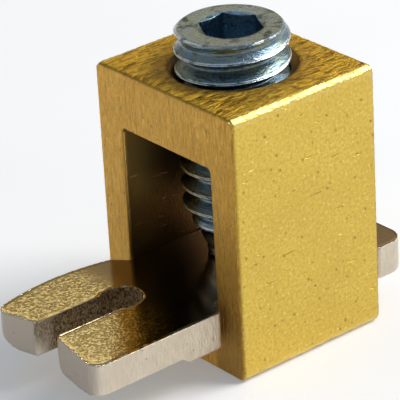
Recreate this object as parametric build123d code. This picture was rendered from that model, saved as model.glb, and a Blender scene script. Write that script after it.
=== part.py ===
from build123d import *
import math
import os

# A screw clamp for one stranded conductor: a brass frame cut from extruded profile, a socket set screw
# through its top wall, and a forked contact bar lying on the floor of its window.
# Millimetres. +X runs from the bar's fork to its rear stub, +Y across the frame, +Z up the screw.
# The origin is the middle of the frame's underside.

# Frame
FRAME_DEPTH = 12.5  # along X, the length sawn from the profile
FRAME_WIDTH = 14.3
FRAME_HEIGHT = 19.4
SIDE_WALL = 2.6
TOP_WALL = 4.3
FLOOR_WALL = 2.4
PROFILE_RADIUS = 0.5
WINDOW_RADIUS = 0.3
DEBURR = 0.12
COUNTERSINK_RADIUS = 4.5

# Screw thread, 5/16-18 UNC
THREAD_PITCH = 25.4 / 18
CREST_RADIUS = 3.95
THREAD_DEPTH = 0.6134 * THREAD_PITCH
CREST_FLAT = THREAD_PITCH / 8
FLANK_ANGLE = 30.0  # from the plane square to the screw's axis
THREAD_PHASE = 0.32  # height of one crest above the origin where the helix crosses +X
THREAD_CLEARANCE = 0.08  # along the axis, at each flank
CREST_CLEARANCE = 0.10
BORE_CLEARANCE = 0.12
THREAD_OVERRUN = 0.5  # the rod is this much longer at each end before it is turned to shape
SEAM_TURN = 137.0  # keeps the rod's seam away from where the thread's turns join

# Screw
SCREW_TOP = 22.2
SCREW_TIP_GAP = 0.1  # the point stands this far above the bar
RIM_CHAMFER = 0.32
HEX_ACROSS_FLATS = 3.97  # 5/32 inch key
HEX_TURN = 4.0  # degrees from a corner on +X
HEX_DEPTH = 4.2
SOCKET_DISH = 0.35
DRILL_SLOPE = 0.6  # depth of the drilled point for each millimetre of its radius
DRILL_TIP_RADIUS = 0.02
CONE_TOP = 9.4  # the thread starts to taper here
CONE_SLOPE = 0.44  # radius lost per millimetre of height
NOSE_RADIUS = 2.4
NOSE_HEIGHT = 0.75
NOSE_CHAMFER = 0.15
POINT_JOIN_GAP = 0.02

# Contact bar
BAR_THICKNESS = 2.87
BAR_HALF_WIDTH = 5.82
NECK_HALF_WIDTH = 4.45
FRONT_SHOULDER = -6.5
REAR_SHOULDER = 6.45
SHOULDER_RADIUS = 0.45
UNDERSIDE_RADIUS = 0.35  # the punched edge is rolled over on the underside
CORNER_MARGIN = 0.01  # keeps two corners of the slot's end from meeting in a point

# Fork: one prong has a straight outer edge, and the other's bulges
RIGHT_TIP = -17.7  # where the prongs' outer corners would be if they were sharp
LEFT_TIP = -17.45
LEFT_TIP_WIDTH = 5.36
TIP_SLANT = 0.9  # the prongs' inner corners stand back by this
TIP_RADIUS = 0.95
INNER_TIP_RADIUS = 0.4
BULGE_PLACE = -11.9
BULGE_WIDTH = 6.6
BULGE_RADIUS = 17.0
LEFT_SHOULDER_WIDTH = 5.45
LEFT_SHOULDER_RUN = 0.8  # how far the front shoulder runs out towards the fork
RIGHT_SHOULDER_RUN = 0.35
SLOT_WIDTH = 2.28
SLOT_OFFSET = 0.6
EYE_RADIUS = 1.43  # the slot ends in a wider round eye
EYE_START = -10.9
EYE_END = -8.9
FORK_RELIEF = 0.1  # the fork's underside is above the neck's
ROLL_END = -10.36  # the fork's lower edges are rolled up from its tip to here
ROLLED_EDGES = {  # how far each edge has risen at places across the fork
    "left outer": [(3.5, 0), (4.4, 0.45), (5.3, 1.1), (6.8, 2.3)],
    "left at slot": [(2.2, 0), (1.5, 0.5)],
    "right at slot": [(-1.5, 0), (-1.0, 0.35), (-0.4, 1.0)],
    "right outer": [(-2.2, 0), (-6.2, 0.55)],
}
STEP_LENGTH = 0.76  # at the right outer edge the underside slopes back down to the neck's
STEP_HEIGHT = 0.6
STEP_SIDE = -3.0

# Stub
STUB_HALF_WIDTH = 6.65
STUB_END = 9.35
STUB_CORNER_RADIUS = 1.4
STUB_SLANT = 0.15
STUB_RELIEF = 0.3  # its underside is above the neck's
STUB_RELIEF_START = 6.4

BAR_TOP = FLOOR_WALL + BAR_THICKNESS
WINDOW_TOP = FRAME_HEIGHT - TOP_WALL
WINDOW_WIDTH = FRAME_WIDTH - 2 * SIDE_WALL
ROOT_RADIUS = CREST_RADIUS - THREAD_DEPTH
FLANK_SPREAD = 2 * math.tan(math.radians(FLANK_ANGLE))
SCREW_TIP = BAR_TOP + SCREW_TIP_GAP
POINT_TOP = CONE_TOP - (CREST_RADIUS - ROOT_RADIUS) / CONE_SLOPE


def one_turn(section, bottom):
    """One turn of a helical bar. section lists its corners as radius and height above its middle line."""
    helices = [
        Pos(0, 0, bottom + rise) * Edge.make_helix(THREAD_PITCH, THREAD_PITCH, radius)
        for radius, rise in section
    ]
    pairs = list(zip(helices, helices[1:] + helices[:1]))
    sides = [Face.make_surface_from_curves(a, b) for a, b in pairs]
    ends = [Face(Wire([Line(a @ t, b @ t).edge() for a, b in pairs])) for t in (0, 1)]
    return Solid(Shell(sides + ends))


def cut_thread(body, inner, outer, bottom, top):
    """Cut a helical groove, from its middle height at bottom until past top.

    inner and outer are the groove's radius and width at its two sides.
    """
    section = (
        (inner[0], -inner[1] / 2),
        (inner[0], inner[1] / 2),
        (outer[0], outer[1] / 2),
        (outer[0], -outer[1] / 2),
    )
    while bottom < top:
        body -= one_turn(section, bottom)
        bottom += THREAD_PITCH
    return body


def crest_height(above):
    """Height of the lowest thread crest over +X that is at least the given height."""
    turns = math.ceil((above - THREAD_PHASE) / THREAD_PITCH)
    return THREAD_PHASE + turns * THREAD_PITCH


def profile_block():
    """The sawn length of profile with its window."""
    window_height = WINDOW_TOP - FLOOR_WALL
    window_middle = FLOOR_WALL + window_height / 2
    outline = Pos(0, FRAME_HEIGHT / 2) * RectangleRounded(FRAME_WIDTH, FRAME_HEIGHT, PROFILE_RADIUS)
    window = Pos(0, window_middle) * RectangleRounded(WINDOW_WIDTH, window_height, WINDOW_RADIUS)
    block = extrude(Plane.YZ * (outline - window), FRAME_DEPTH / 2, both=True)
    sawn_faces = block.faces().sort_by(Axis.X)
    return chamfer(sawn_faces[0].edges() + sawn_faces[-1].edges(), DEBURR)


def countersunk_hole():
    """The hole before tapping, with its countersink."""
    bore_radius = ROOT_RADIUS + BORE_CLEARANCE
    sink_depth = COUNTERSINK_RADIUS - bore_radius
    middle = (WINDOW_TOP + FRAME_HEIGHT) / 2
    bore = Pos(0, 0, middle) * Cylinder(bore_radius, TOP_WALL + 1)
    sink = Pos(0, 0, FRAME_HEIGHT - sink_depth / 2) * Cone(bore_radius, COUNTERSINK_RADIUS, sink_depth)
    return bore + sink


def clamp_frame():
    """The brass body, tapped for the screw."""
    body = profile_block() - countersunk_hole()
    ridge_width = CREST_FLAT + 2 * THREAD_CLEARANCE
    inner_radius = ROOT_RADIUS - BORE_CLEARANCE
    outer_radius = CREST_RADIUS + CREST_CLEARANCE
    inner = (inner_radius, ridge_width + (CREST_RADIUS - inner_radius) * FLANK_SPREAD)
    outer = (outer_radius, ridge_width - CREST_CLEARANCE * FLANK_SPREAD)
    return cut_thread(body, inner, outer, crest_height(WINDOW_TOP - 2 * THREAD_PITCH), FRAME_HEIGHT)


def hex_socket():
    """The broached socket with its drilled point and dished mouth."""
    across_corners = HEX_ACROSS_FLATS / math.cos(math.radians(30))
    hexagon = Rot(0, 0, HEX_TURN) * RegularPolygon(across_corners / 2, 6)
    socket = Pos(0, 0, SCREW_TOP) * extrude(hexagon, -HEX_DEPTH)
    drill_radius = HEX_ACROSS_FLATS / 2
    drill_depth = DRILL_SLOPE * drill_radius
    drill_middle = SCREW_TOP - HEX_DEPTH - drill_depth / 2
    drill_point = Pos(0, 0, drill_middle) * Cone(DRILL_TIP_RADIUS, drill_radius, drill_depth)
    dish_radius = across_corners / 2 + SOCKET_DISH
    dish = Pos(0, 0, SCREW_TOP - SOCKET_DISH) * Cone(
        dish_radius - 2 * SOCKET_DISH, dish_radius, 2 * SOCKET_DISH, align=(Align.CENTER, Align.CENTER, Align.MIN)
    )
    return socket + drill_point + dish


def shank_profile():
    """Half section of the threaded shank, from its axis out to its crests."""
    return Polyline(
        (0, POINT_TOP + POINT_JOIN_GAP),
        (ROOT_RADIUS, POINT_TOP + POINT_JOIN_GAP),
        (CREST_RADIUS, CONE_TOP),
        (CREST_RADIUS, SCREW_TOP - RIM_CHAMFER),
        (CREST_RADIUS - RIM_CHAMFER, SCREW_TOP),
        (0, SCREW_TOP),
        close=True,
    )


def clamp_screw():
    """The threaded shank, down to where the thread has run out on the taper."""
    low = POINT_TOP + POINT_JOIN_GAP - THREAD_OVERRUN
    high = SCREW_TOP + THREAD_OVERRUN
    rod = Rot(0, 0, SEAM_TURN) * Pos(0, 0, (low + high) / 2) * Cylinder(CREST_RADIUS, high - low)
    root = (ROOT_RADIUS, THREAD_PITCH - CREST_FLAT - THREAD_DEPTH * FLANK_SPREAD)
    mouth = (CREST_RADIUS + THREAD_CLEARANCE, THREAD_PITCH - CREST_FLAT + THREAD_CLEARANCE * FLANK_SPREAD)
    bottom = crest_height(low - 2 * THREAD_PITCH) + THREAD_PITCH / 2
    threaded = cut_thread(rod, root, mouth, bottom, high + THREAD_PITCH)
    turned = revolve(Plane.XZ * make_face(shank_profile()), Axis.Z)
    return (threaded & turned) - hex_socket()


def screw_point():
    """The plain end of the screw: the last of the taper and a short flat nose."""
    nose_top = SCREW_TIP + NOSE_HEIGHT
    section = Polyline(
        (0, SCREW_TIP),
        (NOSE_RADIUS - NOSE_CHAMFER, SCREW_TIP),
        (NOSE_RADIUS, SCREW_TIP + NOSE_CHAMFER),
        (NOSE_RADIUS, nose_top),
        (ROOT_RADIUS, POINT_TOP),
        (0, POINT_TOP),
        close=True,
    )
    return revolve(Plane.XZ * make_face(section), Axis.Z)


def stub_corners(side):
    """The corners of one side of the rear stub, from the neck outward."""
    return [
        (REAR_SHOULDER, side * NECK_HALF_WIDTH, SHOULDER_RADIUS),
        (REAR_SHOULDER + STUB_SLANT, side * STUB_HALF_WIDTH, SHOULDER_RADIUS),
        (STUB_END, side * STUB_HALF_WIDTH, STUB_CORNER_RADIUS),
    ]


def slot_corners(side):
    """The corners of one wall of the fork's slot, from its mouth to the end of its eye."""
    wall = SLOT_OFFSET + side * SLOT_WIDTH / 2
    eye_wall = SLOT_OFFSET + side * EYE_RADIUS
    jog = EYE_RADIUS - SLOT_WIDTH / 2
    mouth = (LEFT_TIP if side == 1 else RIGHT_TIP) + TIP_SLANT
    return [
        (mouth, wall, INNER_TIP_RADIUS),
        (EYE_START - jog, wall, INNER_TIP_RADIUS),
        (EYE_START, eye_wall, INNER_TIP_RADIUS),
        (EYE_END, eye_wall, EYE_RADIUS - CORNER_MARGIN),
    ]


def bar_outline():
    """The punched outline: each corner is a point and the radius it is rounded to."""
    left = [
        (LEFT_TIP, LEFT_TIP_WIDTH, TIP_RADIUS),
        (BULGE_PLACE, BULGE_WIDTH, BULGE_RADIUS),
        (FRONT_SHOULDER - LEFT_SHOULDER_RUN, LEFT_SHOULDER_WIDTH, SHOULDER_RADIUS),
        (FRONT_SHOULDER, NECK_HALF_WIDTH, SHOULDER_RADIUS),
    ]
    right = [
        (FRONT_SHOULDER, -NECK_HALF_WIDTH, SHOULDER_RADIUS),
        (FRONT_SHOULDER - RIGHT_SHOULDER_RUN, -BAR_HALF_WIDTH, SHOULDER_RADIUS),
        (RIGHT_TIP, -BAR_HALF_WIDTH, TIP_RADIUS),
    ]
    corners = left + stub_corners(1) + stub_corners(-1)[::-1] + right
    corners += slot_corners(-1) + slot_corners(1)[::-1]
    points = [corner[:2] for corner in corners]
    radii = [corner[2] for corner in corners]
    return make_face(FilletPolyline(*points, radius=radii, close=True))


def bar_slice(underside, start, end):
    """The bar between two places along X, with its underside at the given height."""
    slab = Pos(0, 0, underside) * extrude(bar_outline(), BAR_TOP - underside)
    slab = fillet(slab.faces().sort_by(Axis.Z)[0].edges(), UNDERSIDE_RADIUS)
    box = Pos((start + end) / 2, 0, BAR_TOP) * Box(end - start, 2 * FRAME_WIDTH, 2 * FRAME_HEIGHT)
    return slab & box


def rolled_edge(rises):
    """What is missing below one rolled-up lower edge of the fork."""
    underside = FLOOR_WALL + FORK_RELIEF
    corners = [(place, underside + rise) for place, rise in rises]
    corners.append((rises[-1][0], underside))
    section = make_face(Polyline(*corners, close=True))
    return Pos(ROLL_END, 0, 0) * extrude(Plane.YZ * section, 2 * RIGHT_TIP)


def fork_step():
    """What is missing below the slope where the right outer edge's roll ends."""
    corners = Polyline(
        (ROLL_END, FLOOR_WALL),
        (ROLL_END + STEP_LENGTH, FLOOR_WALL),
        (ROLL_END, FLOOR_WALL + STEP_HEIGHT),
        close=True,
    )
    return Pos(0, STEP_SIDE, 0) * extrude(Plane.XZ * make_face(corners), FRAME_WIDTH)


def contact_bar():
    """The punched bar: fork, neck and stub, each with its own underside."""
    fork = bar_slice(FLOOR_WALL + FORK_RELIEF, 2 * RIGHT_TIP, ROLL_END)
    for rises in ROLLED_EDGES.values():
        fork -= rolled_edge(rises)
    neck = bar_slice(FLOOR_WALL, ROLL_END, STUB_RELIEF_START) - fork_step()
    stub = bar_slice(FLOOR_WALL + STUB_RELIEF, STUB_RELIEF_START, 2 * STUB_END)
    return fork + neck + stub


os.makedirs("parts", exist_ok=True)
for node in (clamp_frame, clamp_screw, screw_point, contact_bar):
    export_step(node(), f"parts/{node.__name__}.step")
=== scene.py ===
import math

import bmesh
import bpy
import numpy as np
from mathutils import Matrix, Vector, kdtree, noise


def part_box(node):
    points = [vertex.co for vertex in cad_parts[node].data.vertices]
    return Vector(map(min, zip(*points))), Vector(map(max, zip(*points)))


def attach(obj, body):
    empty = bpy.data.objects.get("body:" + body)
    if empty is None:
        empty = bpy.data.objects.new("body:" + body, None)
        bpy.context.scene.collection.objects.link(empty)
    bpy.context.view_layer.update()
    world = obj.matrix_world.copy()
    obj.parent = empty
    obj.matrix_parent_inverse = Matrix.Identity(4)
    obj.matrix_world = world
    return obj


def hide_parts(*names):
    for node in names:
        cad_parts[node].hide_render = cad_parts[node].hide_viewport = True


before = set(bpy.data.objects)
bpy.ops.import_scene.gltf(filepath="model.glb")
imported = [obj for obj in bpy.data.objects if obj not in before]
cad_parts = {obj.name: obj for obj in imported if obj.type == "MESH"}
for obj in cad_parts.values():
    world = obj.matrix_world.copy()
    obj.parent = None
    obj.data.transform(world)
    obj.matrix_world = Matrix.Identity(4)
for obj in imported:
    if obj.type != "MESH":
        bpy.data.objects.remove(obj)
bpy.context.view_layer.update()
scene = bpy.context.scene

MM = 0.001
FRAME_LOW, FRAME_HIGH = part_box("clamp_frame")
BAR_LOW, BAR_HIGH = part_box("contact_bar")
SCREW_LOW, SCREW_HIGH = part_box("clamp_screw")
POINT_LOW, POINT_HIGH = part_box("screw_point")

SHARP_ANGLE = 35  # faces that meet at more than this don't shade as one

# Camera, in degrees, metres and millimetres of lens
CAMERA_AZIMUTH = -38.6928
CAMERA_ELEVATION = 26.5593
CAMERA_ROLL = -3.2322
CAMERA_DISTANCE = 204.559 * MM
CAMERA_AIM = Vector((0.18, 4.60, -2.30)) * MM  # from the middle of the frame's box
CAMERA_LENS = 262.543
SENSOR_WIDTH = 36.0

# Frame
FRAME_GRID = 0.145 * MM  # size of the faces of the even grid
SIDE_WALL = 2.6 * MM
WINDOW_SIDE = FRAME_HIGH.y - SIDE_WALL
WINDOW_TOP = 15.1 * MM
FLOOR_WALL = BAR_LOW.z
HOLE_RADIUS = 4.5 * MM
SKIN = 0.06 * MM  # a point this near to a face counts as on it
ROUND_WEAR = 0.42 * MM  # width of the wear on the rounded corners, and on the sawn ones
BURR_WEAR = 0.11 * MM
WEAR_DEPTH = 0.05 * MM
WEAR_LUMPS = (0.35 * MM, 0.13 * MM, 0.6)  # coarse and fine lumps, and the share of the fine ones
WEAR_MEAN = 0.5  # the wear varies about this share of WEAR_DEPTH, up to WEAR_MOST of it
WEAR_MOST = 1.5
WEAR_LEAST = 0.02  # points that are worn less than this stay where they are
WINDOW_SHADE_TOP = 13 * MM  # painted shade: the window is darkest on its floor, and lighter up to this height
WINDOW_SHADE_MIDDLE = 1.5 * MM  # the painted shade is darkest within this distance of the middle, and lighter at its mouths
HOLE_SHADE_RADIUS = 6.3 * MM  # painted shade: the top is darker from here in towards the hole
BAR_REFLECTION_LOW = 4 * MM  # beside the bar the sawn face carries a painted reflection of the bar's dark top, from here up ever less to the next height
BAR_REFLECTION_HIGH = 14 * MM
BAR_REFLECTION_FADE = 0.5 * MM
HOLE_SHADE_SHARE = 0.45  # how strongly each of the three shows
BAR_REFLECTION_SHARE = 0.6
WORN_HIGHLIGHT_SHARE = 0.65

# Bar
BAR_GRID = 0.1 * MM
BESIDE_DEPTH = 4 * SKIN  # the points down to here under the top tell where its edge runs
SLOT_MIDDLE = 0.6 * MM
SLOT_REACH = 1.5 * MM  # the slot's walls lie within this distance of its middle line
SLOT_END = -8.8 * MM
FORK_START = -11.2 * MM  # from here inwards the orange peel gives way to the duller middle with its painted shade
FORK_FADE = 3.0 * MM
RIM_WIDTH = 0.5 * MM  # the orange peel and its painted sparkle stop this far from the edge
PEEL_RIM = 0.02  # height of the orange peel, and strength of its painted sparkle, at the edge; what is added inland, and on the fork
PEEL_INLAND = 0.02
PEEL_FORK = 0.19
ARRIS_WIDTH = 0.11 * MM
ARRIS_DEPTH = 0.08 * MM  # the arris is rubbed down this far
ARRIS_LUMPS = (0.5 * MM, 0.17 * MM, 0.5)
ARRIS_MEAN = 0.7
ARRIS_MOST = 1.4
ARRIS_FADE = 1.5 * MM  # the rubbed edge and its painted highlight end over this length in front of the frame
# strength of the painted shade on the faces that face -X
TIP_SHADE_SHARE = 0.8
MOUTH_LOW = -16.4 * MM  # the slot's walls are smooth at its mouth
MOUTH_LENGTH = 1.4 * MM
TORN_SHARE = 0.7  # but partly torn towards the top even there
TORN_LOW = BAR_LOW.z + 0.4 * MM
TORN_HIGH = BAR_HIGH.z - 0.5 * MM

# Screw thread, 5/16-18 UNC
PITCH = 25.4 / 18 * MM
THREAD_PHASE = 0.32 * MM  # height of the middle of a crest over +X
CREST_RADIUS = (SCREW_HIGH.x - SCREW_LOW.x) / 2
THREAD_DEPTH = 0.6134 * PITCH
ROOT_RADIUS = CREST_RADIUS - THREAD_DEPTH
CREST_HALF_FLAT = 1 / 16  # this and the next four are shares of the pitch
CREST_ROUNDING = 0.02
SEAM_HALF_WIDTH = 0.044
ROOT_EDGE = 0.46
FLANK_SHARE = THREAD_DEPTH * math.tan(math.radians(30)) / PITCH
CREST_SEAM = 0.07 * MM  # depth of the groove that thread rolling leaves along the crest
COLUMNS = 180  # faces round the axis

# Screw ends
RIM_CHAMFER = 0.32 * MM
TOP_FILL = 0.6  # the first turn is only part formed: its groove is filled by this share
TOP_FILL_LENGTH = 1.9 * MM
END_SKIN = 0.05 * MM
END_SHINE = 0.32  # how much of the crests' painted highlight the end takes, where a crest is 1
CONE_TOP = 9.4 * MM  # the taper begins here
RUN_OUT_LOW = 5.9 * MM  # the thread fades out on the taper from CONE_TOP down to here
TAPER_GROOVE = 0.5  # depth of the groove on the taper, as a share of the full thread
NOSE_RADIUS = 2.4 * MM
NOSE_HEIGHT = 0.75 * MM
NOSE_CHAMFER = 0.15 * MM
HEX_APOTHEM = 3.97 / 2 * MM
HEX_CORNER_RADIUS = HEX_APOTHEM / math.cos(math.radians(30))
HEX_TURN = 4  # degrees
HEX_DEPTH = 4.2 * MM
HEX_MOUTH_SLOPE = 0.45  # drop of the chamfer at the mouth, for each millimetre inwards
HEX_LIP = (0.22 * MM, 0.05 * MM)  # the flat top ends in two rings this far outside the corners
HEX_LIP_DROP = 0.01 * MM
HEX_EDGE_DROP = 0.03 * MM
SOCKET_SKIN = 0.03 * MM  # points this near to the hexagon and this far under the end are in the socket
SOCKET_DROP = 0.02 * MM
DRILL_POINT_DEPTH = 1.19 * MM
MERGE_DISTANCE = 1e-7

# Studio
KEY_AZIMUTH = 62
KEY_ELEVATION = 44
KEY_DISTANCE = 0.6
KEY_SIZE = 0.35
KEY_WATTS = 4.4
KEY_COLOUR = (1.0, 0.98, 0.95)
FLOOR_HALF = 1.5
FLOOR_GAP = 0.02 * MM  # the floor lies this far under the frame
WORLD_FRONT = (0.22, 0.25, 0.28)
WORLD_SIDES = (0.50, 0.51, 0.52)
WORLD_HIGH_SIDES = (0.36, 0.33, 0.28)
WORLD_BEHIND = (0.29, 0.235, 0.145)
WORLD_BAND = (1.3, 1.2, 0.9)
WORLD_OVERHEAD = (0.22, 0.34, 0.52)


# ---------------------------------------------------------------- node helpers

def add(tree, kind, sockets=None, **settings):
    """A shader node with its settings, and its inputs set or linked."""
    made = tree.nodes.new("ShaderNode" + kind)
    for key, value in settings.items():
        setattr(made, key, value)
    for key, value in (sockets or {}).items():
        if isinstance(value, bpy.types.NodeSocket):
            tree.links.new(value, made.inputs[key])
        else:
            made.inputs[key].default_value = value
    return made


def new_material(name):
    """An empty material with its Principled shader, and object coordinates in millimetres."""
    material = bpy.data.materials.new(name)
    material.use_nodes = True
    tree = material.node_tree
    shader = tree.nodes["Principled BSDF"]
    place = add(tree, "TexCoord").outputs["Object"]
    millimetres = add(tree, "VectorMath", {0: place, 1: (1000, 1000, 1000)}, operation="MULTIPLY")
    return material, tree, shader, millimetres.outputs[0]


def stretch(tree, vector, scale, turn=(0, 0, 0)):
    """The coordinates turned by degrees about each axis and scaled."""
    sockets = {"Vector": vector, "Scale": scale, "Rotation": [math.radians(t) for t in turn]}
    return add(tree, "Mapping", sockets).outputs[0]


def grain(tree, vector, scale, detail=2.0, roughness=0.5, distortion=0.0):
    """Noise from 0 to 1."""
    sockets = {
        "Vector": vector,
        "Scale": scale,
        "Detail": detail,
        "Roughness": roughness,
        "Distortion": distortion,
    }
    return add(tree, "TexNoise", sockets).outputs["Fac"]


def ramp(tree, value, low, high, to_low=0.0, to_high=1.0):
    """value from low to high becomes to_low to to_high, held at the ends."""
    sockets = {"Value": value, "From Min": low, "From Max": high, "To Min": to_low, "To Max": to_high}
    return add(tree, "MapRange", sockets).outputs[0]


def maths(tree, operation, a, b=0.0):
    return add(tree, "Math", {0: a, 1: b}, operation=operation).outputs[0]


def total(tree, *terms):
    """The sum of value times weight over the (value, weight) terms."""
    result = 0.0
    for value, weight in terms:
        result = maths(tree, "ADD", result, maths(tree, "MULTIPLY", value, weight))
    return result


def mix_value(tree, share, a, b):
    return add(tree, "Mix", {"Factor": share, "A": a, "B": b}).outputs["Result"]


def mix_colour(tree, share, a, b):
    """A colour between two, each a socket or red, green and blue."""
    sockets = {"Factor": share}
    for key, value in (("A", a), ("B", b)):
        sockets[key] = (*value, 1) if isinstance(value, tuple) else value
    return add(tree, "Mix", sockets, data_type="RGBA").outputs["Result"]


def pits(tree, vector, scale, size):
    """1 in small round pits scattered at random, 0 elsewhere."""
    cells = add(tree, "TexVoronoi", {"Vector": vector, "Scale": scale, "Randomness": 1.0}, feature="F1")
    return ramp(tree, cells.outputs["Distance"], 0.4 * size, size, 1.0, 0.0)


def scratches(tree, vector, scale, turn, rarity):
    """1 along thin broken lines, 0 elsewhere."""
    lines = grain(tree, stretch(tree, vector, scale, turn), 1.0, 1.0)
    return ramp(tree, lines, rarity, rarity + 0.035)


def bump(tree, height, distance):
    """A bump whose height of 1 stands for the given distance in mm."""
    return add(tree, "Bump", {"Height": height, "Distance": distance * MM}).outputs["Normal"]


def attribute(tree, name):
    return add(tree, "Attribute", attribute_name=name).outputs["Fac"]


def finish_metal(tree, shader, colour, roughness, normal):
    shader.inputs["Metallic"].default_value = 1.0
    tree.links.new(colour, shader.inputs["Base Color"])
    tree.links.new(roughness, shader.inputs["Roughness"])
    tree.links.new(normal, shader.inputs["Normal"])


# ---------------------------------------------------------------- materials

def drawn_brass(tree, mm, patches, speckle):
    """Colour and height of the drawn sides."""
    light = mix_colour(tree, patches, (0.74, 0.53, 0.105), (0.70, 0.49, 0.095))
    shade = (0.60, 0.41, 0.066)
    fleck = (0.96, 0.80, 0.32)
    mottle = grain(tree, mm, 4.2, 5, 0.75)
    lines = grain(tree, stretch(tree, mm, (0.25, 14, 14)), 1.0, 2)
    colour = mix_colour(tree, ramp(tree, mottle, 0.40, 0.52), shade, light)
    colour = mix_colour(tree, ramp(tree, mottle, 0.60, 0.65), colour, fleck)
    return colour, total(tree, (speckle, 0.6), (mottle, 0.6), (lines, 0.3))


def sawn_brass(tree, mm, patches, speckle):
    """Colour and height of the sawn ends, with upright saw marks."""
    light = mix_colour(tree, patches, (0.97, 0.56, 0.100), (0.88, 0.495, 0.084))
    shade = (0.64, 0.345, 0.050)
    cut_colour = (0.30, 0.15, 0.03)
    lines = grain(tree, stretch(tree, mm, (1, 5.6, 1.5), (4, 0, 0)), 1.0, 5, 0.8, 0.6)
    threads = grain(tree, stretch(tree, mm, (1, 13.0, 0.5)), 1.0, 2)
    cuts = scratches(tree, mm, (1, 5.0, 0.35), (3, 0, 0), 0.63)
    colour = mix_colour(tree, ramp(tree, lines, 0.38, 0.60), shade, light)
    colour = mix_colour(tree, maths(tree, "MULTIPLY", cuts, 0.22), colour, cut_colour)
    return colour, total(tree, (lines, 5.0), (cuts, -1.2), (threads, 0.6), (speckle, 0.5))


def top_brass(tree, mm, speckle):
    """Colour and height of the top, with its wavy chatter marks."""
    wavy = grain(tree, stretch(tree, mm, (0.8, 3.0, 1), (0, 0, 35)), 1.0, 5, 0.7, 1.4)
    dark = (0.31, 0.155, 0.011)
    light = (0.84, 0.51, 0.050)
    colour = mix_colour(tree, ramp(tree, wavy, 0.42, 0.56), dark, light)
    return colour, total(tree, (wavy, 5.5), (speckle, 1.2))


def brass_material():
    """Drawn brass with sawn ends.

    Attributes: sawn ends, top face, inside walls with their painted shade, the painted shade round the
    hole and the painted reflection of the bar's dark top beside the bar, the rounded corners that are
    rubbed and carry a painted highlight, and the burred corners that are rubbed and carry a painted
    shade line.
    """
    material, tree, shader, mm = new_material("brass_satin")
    sawn = attribute(tree, "sawn")
    top = attribute(tree, "top")
    worn_highlight = attribute(tree, "worn_highlight")
    inner = attribute(tree, "inner")
    speckle = grain(tree, mm, 5.5, 3, 0.6)
    patches = ramp(tree, grain(tree, mm, 0.35, 3), 0.35, 0.65)
    dents = maths(tree, "MULTIPLY", pits(tree, mm, 1.1, 0.15), maths(tree, "SUBTRACT", 1.0, inner))
    cuts = scratches(tree, mm, (0.5, 6, 6), (0, 28, 0), 0.715)

    drawn_colour, drawn_height = drawn_brass(tree, mm, patches, speckle)
    top_colour, top_height = top_brass(tree, mm, speckle)
    sawn_colour, sawn_height = sawn_brass(tree, mm, patches, speckle)
    # inside the window: painted shade, darkest on the floor and in the middle, lighter higher up and at
    # the mouths
    inner_colour = mix_colour(tree, attribute(tree, "window_shade"), (0.86, 0.51, 0.15), (0.080, 0.046, 0.016))
    colour = mix_colour(tree, top, drawn_colour, top_colour)
    layers = [
        (sawn, sawn_colour),
        (maths(tree, "MULTIPLY", cuts, 0.6), (0.30, 0.18, 0.04)),
        (maths(tree, "MULTIPLY", dents, 0.6), (0.28, 0.17, 0.04)),
        (inner, inner_colour),
        # painted highlight on the rubbed rounded corners
        (worn_highlight, (0.92, 0.74, 0.28)),
        # painted shade round the hole, and painted reflection of the bar's dark top beside the bar
        (attribute(tree, "hole_shade_bar_reflection"), (0.26, 0.14, 0.035)),
        # painted shade line along the burred sawn corners
        (attribute(tree, "burr_shade"), (0.10, 0.05, 0.015)),
    ]
    for share, layer in layers:
        colour = mix_colour(tree, share, colour, layer)

    drawn_height = total(tree, (drawn_height, 1.0), (dents, -1.2), (cuts, -0.8))
    top_height = total(tree, (top_height, 1.0), (cuts, -0.8))
    height = mix_value(tree, top, drawn_height, top_height)
    height = mix_value(tree, sawn, height, sawn_height)
    ragged = maths(tree, "MULTIPLY", grain(tree, mm, 3.4, 3, 0.65), worn_highlight)
    height = total(tree, (height, 1.0), (ragged, 6.0))
    roughness = ramp(tree, speckle, 0.3, 0.7, 0.28, 0.42)
    finish_metal(tree, shader, colour, roughness, bump(tree, height, 0.028))
    return material


def zinc_material():
    """Bright zinc plate, bluish with greenish grey patches.

    Attributes: hex socket, and a painted highlight on the thread crests, partly also on the end.
    """
    material, tree, shader, mm = new_material("zinc_plate")
    patches = ramp(tree, grain(tree, mm, 0.9, 3), 0.35, 0.65)
    fine = grain(tree, mm, 6.0, 4, 0.65)
    streaks = grain(tree, stretch(tree, mm, (1.2, 1.2, 8)), 1.0, 3)
    flank_colour = mix_colour(tree, patches, (0.165, 0.255, 0.36), (0.235, 0.295, 0.255))
    crest_highlight_colour = mix_colour(tree, patches, (0.80, 0.88, 0.94), (0.80, 0.86, 0.86))
    socket_colour = (0.24, 0.38, 0.48)
    streak_colour = (0.10, 0.13, 0.14)
    # painted highlight on the thread crests, and partly on the end
    colour = mix_colour(tree, attribute(tree, "crest"), flank_colour, crest_highlight_colour)
    colour = mix_colour(tree, attribute(tree, "socket"), colour, socket_colour)
    colour = mix_colour(tree, ramp(tree, streaks, 0.54, 0.66), colour, streak_colour)
    height = total(tree, (fine, 1.6), (streaks, 1.0))
    roughness = ramp(tree, fine, 0.3, 0.7, 0.14, 0.30)
    finish_metal(tree, shader, colour, roughness, bump(tree, height, 0.024))
    return material


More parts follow.
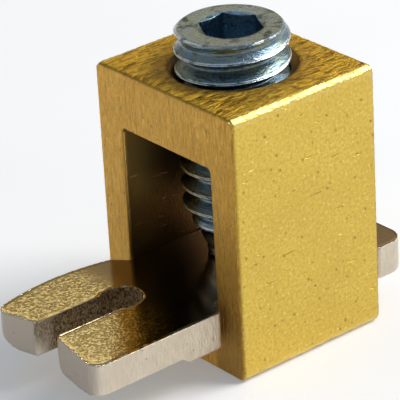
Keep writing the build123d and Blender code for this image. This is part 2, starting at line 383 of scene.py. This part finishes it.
def nickel_top(tree, patches, peel, dull_and_shaded):
    """Colour of the bar's top: painted warm reflection, orange peel with painted sparkle, painted shade
    further in.
    """
    # golden tint of the top: painted warm reflection
    plain = mix_colour(tree, patches, (0.58, 0.44, 0.20), (0.50, 0.375, 0.155))
    # painted sparkle: bright and dark flecks of colour on the orange peel
    painted_sparkle = mix_colour(tree, ramp(tree, peel, 0.40, 0.75), (0.38, 0.285, 0.12), (0.90, 0.76, 0.43))
    painted_shade_colour = (0.28, 0.20, 0.12)
    colour = mix_colour(tree, ramp(tree, attribute(tree, "peel"), 0.06, 0.20), plain, painted_sparkle)
    # painted shade on the middle of the top, under and beside the frame
    return mix_colour(tree, dull_and_shaded, colour, painted_shade_colour)


def nickel_side(tree, patches, streaks):
    """Colour of the bar's sheared sides, with painted shade on the faces that face -X, as at the
    prongs' tips.
    """
    light = mix_colour(tree, patches, (0.78, 0.69, 0.55), (0.70, 0.61, 0.48))
    shade = (0.64, 0.555, 0.44)
    tip_shade_colour = (0.46, 0.395, 0.33)
    colour = mix_colour(tree, ramp(tree, streaks, 0.32, 0.58), shade, light)
    return mix_colour(tree, attribute(tree, "tip_shade"), colour, tip_shade_colour)


def nickel_material():
    """Nickel plate over punched brass.

    Attributes: top face, its smooth rim and rubbed edge with a painted highlight, the fork's orange
    peel with its painted sparkle, the duller middle with its painted shade, the painted shade on the
    prongs' tips, and the torn walls of the slot.
    """
    material, tree, shader, mm = new_material("nickel_plate")
    top = attribute(tree, "top")
    slot = attribute(tree, "slot")
    dull_and_shaded = attribute(tree, "dull_and_shaded")
    patches = ramp(tree, grain(tree, mm, 0.6, 3), 0.35, 0.65)
    streaks = grain(tree, stretch(tree, mm, (4.5, 4.5, 1.1)), 1.0, 5, 0.7)
    crumbs = grain(tree, stretch(tree, mm, (1.4, 1.4, 0.8), (0, 30, 0)), 5.0, 5, 0.75)
    peel = ramp(tree, grain(tree, mm, 5.4, 3.0, 0.55), 0.3, 0.7)
    spots = pits(tree, mm, 1.3, 0.10)

    torn_dark = (0.07, 0.04, 0.018)
    torn_light = (0.66, 0.46, 0.24)
    arris_highlight_colour = (0.90, 0.80, 0.58)
    spot_colour = (0.08, 0.06, 0.04)
    torn_colour = mix_colour(tree, ramp(tree, crumbs, 0.41, 0.60), torn_dark, torn_light)
    colour = mix_colour(tree, slot, nickel_side(tree, patches, streaks), torn_colour)
    colour = mix_colour(tree, top, colour, nickel_top(tree, patches, peel, dull_and_shaded))
    # painted highlight along the rubbed edge of the top, outside the frame
    colour = mix_colour(tree, attribute(tree, "arris_highlight"), colour, arris_highlight_colour)
    colour = mix_colour(tree, maths(tree, "MULTIPLY", spots, 0.6), colour, spot_colour)

    peel_height = maths(tree, "MULTIPLY", peel, attribute(tree, "peel"))
    side_height = total(tree, (streaks, 3.0), (crumbs, 1.6), (spots, -0.6))
    torn_height = total(tree, (streaks, 2.0), (crumbs, 11.0))
    height = mix_value(tree, slot, side_height, torn_height)
    height = mix_value(tree, top, height, peel_height)
    side_roughness = mix_value(tree, slot, ramp(tree, streaks, 0.3, 0.7, 0.28, 0.42), 0.5)
    top_roughness = mix_value(tree, dull_and_shaded, ramp(tree, crumbs, 0.3, 0.7, 0.03, 0.05), 0.17)
    roughness = mix_value(tree, top, side_roughness, top_roughness)
    finish_metal(tree, shader, colour, roughness, bump(tree, height, 0.028))
    return material


def floor_material():
    material, tree, shader, mm = new_material("studio_floor")
    tone = ramp(tree, grain(tree, mm, 0.05, 2), 0.3, 0.7)
    colour = mix_colour(tree, tone, (0.68, 0.68, 0.68), (0.66, 0.66, 0.66))
    tree.links.new(colour, shader.inputs["Base Color"])
    shader.inputs["Roughness"].default_value = 0.9
    shader.inputs["Specular IOR Level"].default_value = 0.1
    shader.inputs["Emission Color"].default_value = (1, 1, 1, 1)
    shader.inputs["Emission Strength"].default_value = 0.20
    return material


# ---------------------------------------------------------------- mesh helpers

def coordinates(mesh):
    values = np.zeros(len(mesh.vertices) * 3, np.float32)
    mesh.vertices.foreach_get("co", values)
    return values.reshape(-1, 3).astype(float)


def set_coordinates(mesh, points):
    mesh.vertices.foreach_set("co", points.astype(np.float32).ravel())
    mesh.update()


def point_attribute(mesh, name, values):
    made = mesh.attributes.new(name, "FLOAT", "POINT")
    made.data.foreach_set("value", np.asarray(values, np.float32))


def noise_at(points, size):
    """Smooth noise from about -1 to 1, with lumps of the given size."""
    return np.array([noise.noise(Vector(p) / size) for p in points])


def uneven(points, lumps, mean, most):
    """A share that varies over the points about its mean, from 0 to the most.

    The lumps are a coarse and a fine size, and the share of the fine ones.
    """
    coarse, fine, fine_share = lumps
    rise = noise_at(points, coarse) + fine_share * noise_at(points, fine)
    return np.clip(mean + rise, 0, most)


def smooth_step(values, low, high):
    share = np.clip((values - low) / (high - low), 0, 1)
    return share * share * (3 - 2 * share)


def remeshed(node, name, voxel):
    """A new piece with a CAD node's shape on an even grid of small faces."""
    piece = bpy.data.objects.new(name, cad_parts[node].data.copy())
    scene.collection.objects.link(piece)
    modifier = piece.modifiers.new("grid", "REMESH")
    modifier.mode = "VOXEL"
    modifier.voxel_size = voxel
    evaluated = piece.evaluated_get(bpy.context.evaluated_depsgraph_get())
    mesh = bpy.data.meshes.new_from_object(evaluated)
    piece.modifiers.clear()
    piece.data = mesh
    mesh.materials.clear()
    return piece


def finish_piece(piece, marks, material, slot, body, *nodes):
    """Give a piece the marks that its material reads, the material, its body and what it replaces."""
    mesh = piece.data
    for name, values in marks.items():
        point_attribute(mesh, name, values)
    mesh.materials.append(material)
    mesh.polygons.foreach_set("use_smooth", [True] * len(mesh.polygons))
    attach(piece, body)
    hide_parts(*nodes)


# ---------------------------------------------------------------- frame

def wear_corners(points):
    """Rub the frame's corners down unevenly.

    Returns the moved points, how much each point of a rounded corner is rubbed, which also sets its
    painted highlight, and how burred each point of a sawn corner is, which also sets its painted shade
    line.
    """
    middle = np.array((FRAME_LOW + FRAME_HIGH) / 2)
    gaps = np.array(FRAME_HIGH) - middle - np.abs(points - middle)
    profile_corner = np.maximum(gaps[:, 1], gaps[:, 2])
    sawn_corner = np.maximum(gaps[:, 0], np.minimum(gaps[:, 1], gaps[:, 2]))
    worn_highlight = np.exp(-((profile_corner / ROUND_WEAR) ** 2))
    burr_shade = np.exp(-((sawn_corner / BURR_WEAR) ** 2))
    near = np.maximum(worn_highlight, burr_shade)
    moved = near > WEAR_LEAST
    rub = np.zeros(len(points))
    rub[moved] = near[moved] * WEAR_DEPTH * uneven(points[moved], WEAR_LUMPS, WEAR_MEAN, WEAR_MOST)
    inward = np.where(gaps < ROUND_WEAR, -np.sign(points - middle), 0)
    return points + inward * rub[:, None], worn_highlight, burr_shade


def frame_painted_darkening(points, sawn, top):
    """Painted shade round the hole in the top, and painted reflection of the bar on the sawn face
    beside it.
    """
    from_axis = np.hypot(points[:, 0], points[:, 1])
    # painted shade round the hole
    round_hole = top * (1 - smooth_step(from_axis, HOLE_RADIUS, HOLE_SHADE_RADIUS))
    # painted reflection of the bar's dark top on the sawn face beside it
    beside_bar = sawn * (points[:, 0] < 0) * (points[:, 1] < 0)
    beside_bar = beside_bar * (1 - smooth_step(points[:, 2], BAR_REFLECTION_LOW, BAR_REFLECTION_HIGH))
    beside_bar = beside_bar * smooth_step(-points[:, 1], WINDOW_SIDE - BAR_REFLECTION_FADE, WINDOW_SIDE)
    return np.maximum(HOLE_SHADE_SHARE * round_hole, BAR_REFLECTION_SHARE * beside_bar)


def frame_marks(points, worn_highlight, burr_shade):
    along, across = np.abs(points[:, 0]), np.abs(points[:, 1])
    height = points[:, 2]
    sawn = smooth_step(along, FRAME_HIGH.x - 2 * SKIN, FRAME_HIGH.x - 0.5 * SKIN)
    top = smooth_step(height, FRAME_HIGH.z - 2 * SKIN, FRAME_HIGH.z - 0.5 * SKIN) * (1 - sawn)
    in_window = (height > FLOOR_WALL - SKIN) & (height < WINDOW_TOP + SKIN)
    in_window = in_window & (across < WINDOW_SIDE + SKIN)
    in_hole = (np.hypot(along, across) < HOLE_RADIUS) & (height > WINDOW_TOP) & (top < 0.5)
    low = 1 - smooth_step(height, FLOOR_WALL, WINDOW_SHADE_TOP)
    deep = smooth_step(-along, -FRAME_HIGH.x, -WINDOW_SHADE_MIDDLE)
    return {
        "sawn": sawn,
        "top": top,
        "inner": (in_window | in_hole) * (1 - sawn),
        # painted shade inside the window: darker low down and in the middle
        "window_shade": 1 - (1 - low) * (1 - deep),
        # the rubbed rounded corners also carry a painted highlight
        "worn_highlight": WORN_HIGHLIGHT_SHARE * worn_highlight * (1 - sawn),
        # burred sawn corners: rubbed, with a painted shade line
        "burr_shade": burr_shade,
        # painted shade round the hole and painted reflection of the bar beside the bar
        "hole_shade_bar_reflection": frame_painted_darkening(points, sawn, top),
    }


def brass_frame():
    piece = remeshed("clamp_frame", "brass_frame", FRAME_GRID)
    points, worn_highlight, burr_shade = wear_corners(coordinates(piece.data))
    set_coordinates(piece.data, points)
    marks = frame_marks(points, worn_highlight, burr_shade)
    finish_piece(piece, marks, brass_material(), "brass", "frame", "clamp_frame")
    piece.data.set_sharp_from_angle(angle=math.radians(SHARP_ANGLE))


# ---------------------------------------------------------------- bar

def distance_to(points, targets):
    """How far each point is from the nearest target."""
    tree = kdtree.KDTree(len(targets))
    for index, target in enumerate(targets):
        tree.insert(target, index)
    tree.balance()
    return np.array([tree.find(point)[2] for point in points])


def distance_to_rim(points, on_top):
    """How far each point of the bar's top is from its edge; RIM_WIDTH elsewhere."""
    height = points[:, 2]
    beside = (height < BAR_HIGH.z - SKIN) & (height > BAR_HIGH.z - BESIDE_DEPTH)
    to_rim = np.full(len(points), RIM_WIDTH)
    to_rim[on_top] = distance_to(points[on_top], points[beside])
    return to_rim


def bar_marks(points, normals_x, on_top, to_rim, arris_highlight):
    inland = smooth_step(to_rim, 0.4 * RIM_WIDTH, RIM_WIDTH)
    fork = 1 - smooth_step(points[:, 0], FORK_START, FORK_START + FORK_FADE)
    in_slot = (np.abs(points[:, 1] - SLOT_MIDDLE) < SLOT_REACH) & (points[:, 0] < SLOT_END) & ~on_top
    torn = smooth_step(points[:, 0], MOUTH_LOW, MOUTH_LOW + MOUTH_LENGTH)
    torn = np.maximum(torn, TORN_SHARE * smooth_step(points[:, 2], TORN_LOW, TORN_HIGH))
    return {
        "top": on_top,
        "peel": PEEL_RIM + inland * (PEEL_INLAND + PEEL_FORK * fork),
        "arris_highlight": arris_highlight,
        # painted shade on the faces that face -X
        "tip_shade": TIP_SHADE_SHARE * smooth_step(-normals_x, 0.5, 0.9) * ~on_top * ~in_slot,
        # painted shade and a duller finish on the middle, under and beside the frame
        "dull_and_shaded": 1 - fork,
        "slot": in_slot * torn,
    }


def contact_bar():
    piece = remeshed("contact_bar", "forked_bar", BAR_GRID)
    points = coordinates(piece.data)
    on_top = points[:, 2] > BAR_HIGH.z - 0.5 * SKIN
    to_rim = distance_to_rim(points, on_top)
    outside = 1 - smooth_step(points[:, 0], FRAME_LOW.x - ARRIS_FADE, FRAME_LOW.x)
    # the rubbed edge of the top, which also carries a painted highlight, fades out before the frame
    arris_highlight = on_top * outside * (1 - smooth_step(to_rim, ARRIS_WIDTH, 2 * ARRIS_WIDTH))
    points[:, 2] -= arris_highlight * ARRIS_DEPTH * uneven(points, ARRIS_LUMPS, ARRIS_MEAN, ARRIS_MOST)
    set_coordinates(piece.data, points)
    normals_x = np.array([vertex.normal.x for vertex in piece.data.vertices])
    marks = bar_marks(points, normals_x, on_top, to_rim, arris_highlight)
    finish_piece(piece, marks, nickel_material(), "nickel_plate", "bar", "contact_bar")


# ---------------------------------------------------------------- screw

def thread_section():
    """The thread over one pitch, from root to root about its crest: shares of the pitch and radii."""
    half = [
        (0.0, CREST_RADIUS - CREST_SEAM),
        (SEAM_HALF_WIDTH / 2, CREST_RADIUS - 0.5 * CREST_SEAM),
        (SEAM_HALF_WIDTH, CREST_RADIUS),
        (CREST_HALF_FLAT, CREST_RADIUS - 0.3 * CREST_SEAM),
        (CREST_HALF_FLAT + CREST_ROUNDING, CREST_RADIUS - 1.2 * CREST_SEAM),
    ]
    for share in (0.25, 0.5, 0.75, 0.93):
        half.append((CREST_HALF_FLAT + share * FLANK_SHARE, CREST_RADIUS - share * THREAD_DEPTH))
    half.append((CREST_HALF_FLAT + FLANK_SHARE, ROOT_RADIUS + 0.3 * CREST_SEAM))
    half.append((ROOT_EDGE, ROOT_RADIUS))
    rows = [(-share, radius) for share, radius in half[:0:-1]] + half
    return np.array(rows).T


def envelope_radius(height):
    """The turned outline that the thread is cut in."""
    low, high = POINT_LOW.z, SCREW_HIGH.z
    outline = [
        (low, NOSE_RADIUS - NOSE_CHAMFER),
        (low + NOSE_CHAMFER, NOSE_RADIUS),
        (low + NOSE_HEIGHT, NOSE_RADIUS),
        (POINT_HIGH.z, ROOT_RADIUS),
        (CONE_TOP, CREST_RADIUS),
        (high - RIM_CHAMFER, CREST_RADIUS),
        (high, CREST_RADIUS - RIM_CHAMFER),
    ]
    heights, radii = zip(*outline)
    return np.interp(height, heights, radii)


def helix_faces(line_count, per_turn):
    """Faces between lines of COLUMNS points, each of which runs on into the line per_turn above it."""
    last = COLUMNS - 1
    faces = []
    for j in range(line_count - 1):
        here, above = j * COLUMNS, (j + 1) * COLUMNS
        for i in range(last):
            faces.append([here + i, here + i + 1, above + i + 1, above + i])
        k = j + per_turn
        if k + 1 < line_count:
            faces.append([here + last, k * COLUMNS, (k + 1) * COLUMNS, above + last])
    return faces


def thread_skin(angles):
    """The screw's outside: lines that follow the helix, as vertices and faces."""
    shares, radii = thread_section()
    low, high = POINT_LOW.z, SCREW_HIGH.z
    first_turn = math.floor((low - THREAD_PHASE) / PITCH) - 2
    turns = math.ceil((high - low) / PITCH) + 4
    lines = np.concatenate([(first_turn + k + shares) * PITCH + THREAD_PHASE for k in range(turns)])
    rise = PITCH * angles / (2 * math.pi)
    heights = np.clip(lines[:, None] + rise[None, :], low, high)
    section_share = (heights - rise[None, :] - THREAD_PHASE) / PITCH
    section = np.interp(section_share - np.round(section_share), shares, radii, period=1.0)
    fill = TOP_FILL * smooth_step(heights, high - TOP_FILL_LENGTH, high - RIM_CHAMFER)
    section = section + fill * (CREST_RADIUS - section)
    envelope = envelope_radius(heights)
    run_out = TAPER_GROOVE * smooth_step(heights, RUN_OUT_LOW, CONE_TOP)
    radius = np.minimum(section, envelope - run_out * (CREST_RADIUS - section))
    vertices = np.stack([radius * np.cos(angles), radius * np.sin(angles), heights], axis=-1)
    return vertices.reshape(-1, 3), helix_faces(len(lines), len(shares))


def hex_radius(angles):
    """The hexagon's radius at each angle."""
    from_flat = (np.degrees(angles) - HEX_TURN) % 60 - 30
    return HEX_APOTHEM / np.cos(np.radians(from_flat))


def socket_rings(angles):
    """Rings from the flat top down the hex socket to its drilled point, as (radius, height)."""
    high = SCREW_HIGH.z
    hexagon = hex_radius(angles)
    mouth = high - HEX_MOUTH_SLOPE * (HEX_CORNER_RADIUS - hexagon)
    circle = np.ones(COLUMNS)
    rings = [
        (circle * (HEX_CORNER_RADIUS + HEX_LIP[0]), high * circle),
        (circle * (HEX_CORNER_RADIUS + HEX_LIP[1]), (high - HEX_LIP_DROP) * circle),
        (hexagon, mouth - HEX_EDGE_DROP),
    ]
    floor = high - HEX_DEPTH
    for share in (0.25, 0.5, 0.75, 1.0):
        rings.append((hexagon, (1 - share) * mouth + share * floor))
    rings.append((circle * HEX_APOTHEM * 0.99, floor * circle))
    for share in (0.6, 0.3, 0.02):
        rings.append((circle * HEX_APOTHEM * share, (floor - DRILL_POINT_DEPTH * (1 - share)) * circle))
    return rings


def add_rings(vertices, faces, start, rings, angles, outward):
    """Join more rings one by one to the ring of vertices that begins at start, and close the last."""
    previous = start
    for radius, height in rings:
        ring = np.stack([radius * np.cos(angles), radius * np.sin(angles), height], axis=-1)
        current = sum(len(block) for block in vertices)
        vertices.append(ring)
        for i in range(COLUMNS):
            n = (i + 1) % COLUMNS
            quad = [previous + i, previous + n, current + n, current + i]
            faces.append(quad if outward else quad[::-1])
        previous = current
    cap = [previous + i for i in range(COLUMNS)]
    faces.append(cap if outward else cap[::-1])


def screw_mesh():
    """The whole screw as one closed skin: thread, socket and nose."""
    angles = np.arange(COLUMNS) * 2 * math.pi / COLUMNS
    skin, faces = thread_skin(angles)
    vertices = [skin]
    add_rings(vertices, faces, len(skin) - COLUMNS, socket_rings(angles), angles, True)
    low_ring = (np.full(COLUMNS, 0.5 * NOSE_RADIUS), np.full(COLUMNS, POINT_LOW.z))
    add_rings(vertices, faces, 0, [low_ring], angles, False)

    mesh = bpy.data.meshes.new("set_screw")
    mesh.from_pydata(np.concatenate(vertices).tolist(), [], faces)
    builder = bmesh.new()
    builder.from_mesh(mesh)
    bmesh.ops.remove_doubles(builder, verts=builder.verts, dist=MERGE_DISTANCE)
    bmesh.ops.dissolve_degenerate(builder, edges=builder.edges, dist=MERGE_DISTANCE)
    bmesh.ops.recalc_face_normals(builder, faces=builder.faces)
    builder.to_mesh(mesh)
    builder.free()
    return mesh


def screw_marks(points):
    height = points[:, 2]
    from_axis = np.hypot(points[:, 0], points[:, 1])
    below_envelope = envelope_radius(height) - from_axis
    # the crests carry a painted highlight
    crest = 1 - smooth_step(below_envelope, 0.2 * CREST_SEAM, CREST_SEAM)
    on_end = height > SCREW_HIGH.z - END_SKIN
    near_hex = from_axis < HEX_CORNER_RADIUS + SOCKET_SKIN
    return {
        "crest": np.where(on_end, END_SHINE, crest),
        "socket": near_hex & (height > CONE_TOP) & (height < SCREW_HIGH.z - SOCKET_DROP),
    }


def set_screw():
    piece = bpy.data.objects.new("set_screw", screw_mesh())
    scene.collection.objects.link(piece)
    marks = screw_marks(coordinates(piece.data))
    nodes = ("clamp_screw", "screw_point")
    finish_piece(piece, marks, zinc_material(), "zinc_plated_steel", "screw", *nodes)
    piece.data.set_sharp_from_angle(angle=math.radians(SHARP_ANGLE))


# ---------------------------------------------------------------- studio

def direction(azimuth, elevation):
    """Unit vector from the object towards a place at that azimuth (as the camera's) and elevation."""
    a, e = math.radians(azimuth), math.radians(elevation)
    return Vector((math.sin(a) * math.cos(e), -math.cos(a) * math.cos(e), math.sin(e)))


def make_camera():
    back = direction(CAMERA_AZIMUTH, CAMERA_ELEVATION)
    right = Vector((math.cos(math.radians(CAMERA_AZIMUTH)), math.sin(math.radians(CAMERA_AZIMUTH)), 0))
    up = back.cross(right)
    roll = math.radians(CAMERA_ROLL)
    rolled_right = math.cos(roll) * right + math.sin(roll) * up
    rolled_up = math.cos(roll) * up - math.sin(roll) * right
    data = bpy.data.cameras.new("camera")
    data.lens = CAMERA_LENS
    data.sensor_width = SENSOR_WIDTH
    data.clip_start = 0.01
    camera = bpy.data.objects.new("camera", data)
    scene.collection.objects.link(camera)
    rotation = Matrix((rolled_right, rolled_up, back)).transposed()
    aim = (FRAME_LOW + FRAME_HIGH) / 2 + CAMERA_AIM
    camera.matrix_world = Matrix.Translation(aim + CAMERA_DISTANCE * back) @ rotation.to_4x4()
    scene.camera = camera


def softbox(name, azimuth, elevation, distance, size, watts, colour):
    """A square area light that faces the frame and doesn't show in the picture."""
    data = bpy.data.lights.new(name, "AREA")
    data.size = size
    data.energy = watts
    data.color = colour
    light = bpy.data.objects.new(name, data)
    scene.collection.objects.link(light)
    towards = direction(azimuth, elevation)
    middle = (FRAME_LOW + FRAME_HIGH) / 2
    facing = towards.to_track_quat("Z", "Y").to_matrix().to_4x4()
    light.matrix_world = Matrix.Translation(middle + towards * distance) @ facing
    light.visible_camera = False


def make_world():
    """A plain room: dim behind the camera, neutral at the sides, bluish overhead, and warm behind the
    object, with one bright band high up."""
    world = bpy.data.worlds.new("studio")
    scene.world = world
    world.use_nodes = True
    tree = world.node_tree
    background = tree.nodes["Background"]
    outlook = add(tree, "TexCoord").outputs["Generated"]
    height = add(tree, "SeparateXYZ", {0: outlook}).outputs[2]
    away = -direction(CAMERA_AZIMUTH, 0)
    facing = add(tree, "VectorMath", {0: outlook, 1: away}, operation="DOT_PRODUCT").outputs["Value"]
    behind = ramp(tree, facing, 0.58, 0.82)
    over_low_edge = ramp(tree, height, 0.480, 0.500)
    under_high_edge = ramp(tree, height, 0.65, 0.75, 1.0, 0.0)
    band = maths(tree, "MULTIPLY", behind, maths(tree, "MULTIPLY", over_low_edge, under_high_edge))
    colour = mix_colour(tree, ramp(tree, facing, -0.8, 0.0), WORLD_FRONT, WORLD_SIDES)
    colour = mix_colour(tree, ramp(tree, height, 0.30, 0.46), colour, WORLD_HIGH_SIDES)
    colour = mix_colour(tree, behind, colour, WORLD_BEHIND)
    colour = mix_colour(tree, band, colour, WORLD_BAND)
    colour = mix_colour(tree, ramp(tree, height, 0.55, 0.95), colour, WORLD_OVERHEAD)
    tree.links.new(colour, background.inputs["Color"])
    background.inputs["Strength"].default_value = 1.0


def make_floor():
    low = FRAME_LOW.z - FLOOR_GAP
    signs = [(-1, -1), (1, -1), (1, 1), (-1, 1)]
    corners = [(x * FLOOR_HALF, y * FLOOR_HALF, low) for x, y in signs]
    mesh = bpy.data.meshes.new("floor")
    mesh.from_pydata(corners, [], [(0, 1, 2, 3)])
    mesh.materials.append(floor_material())
    floor = bpy.data.objects.new("floor", mesh)
    scene.collection.objects.link(floor)


scene.view_settings.view_transform = "Standard"
make_camera()
make_world()
make_floor()
softbox("key", KEY_AZIMUTH, KEY_ELEVATION, KEY_DISTANCE, KEY_SIZE, KEY_WATTS, KEY_COLOUR)
brass_frame()
contact_bar()
set_screw()
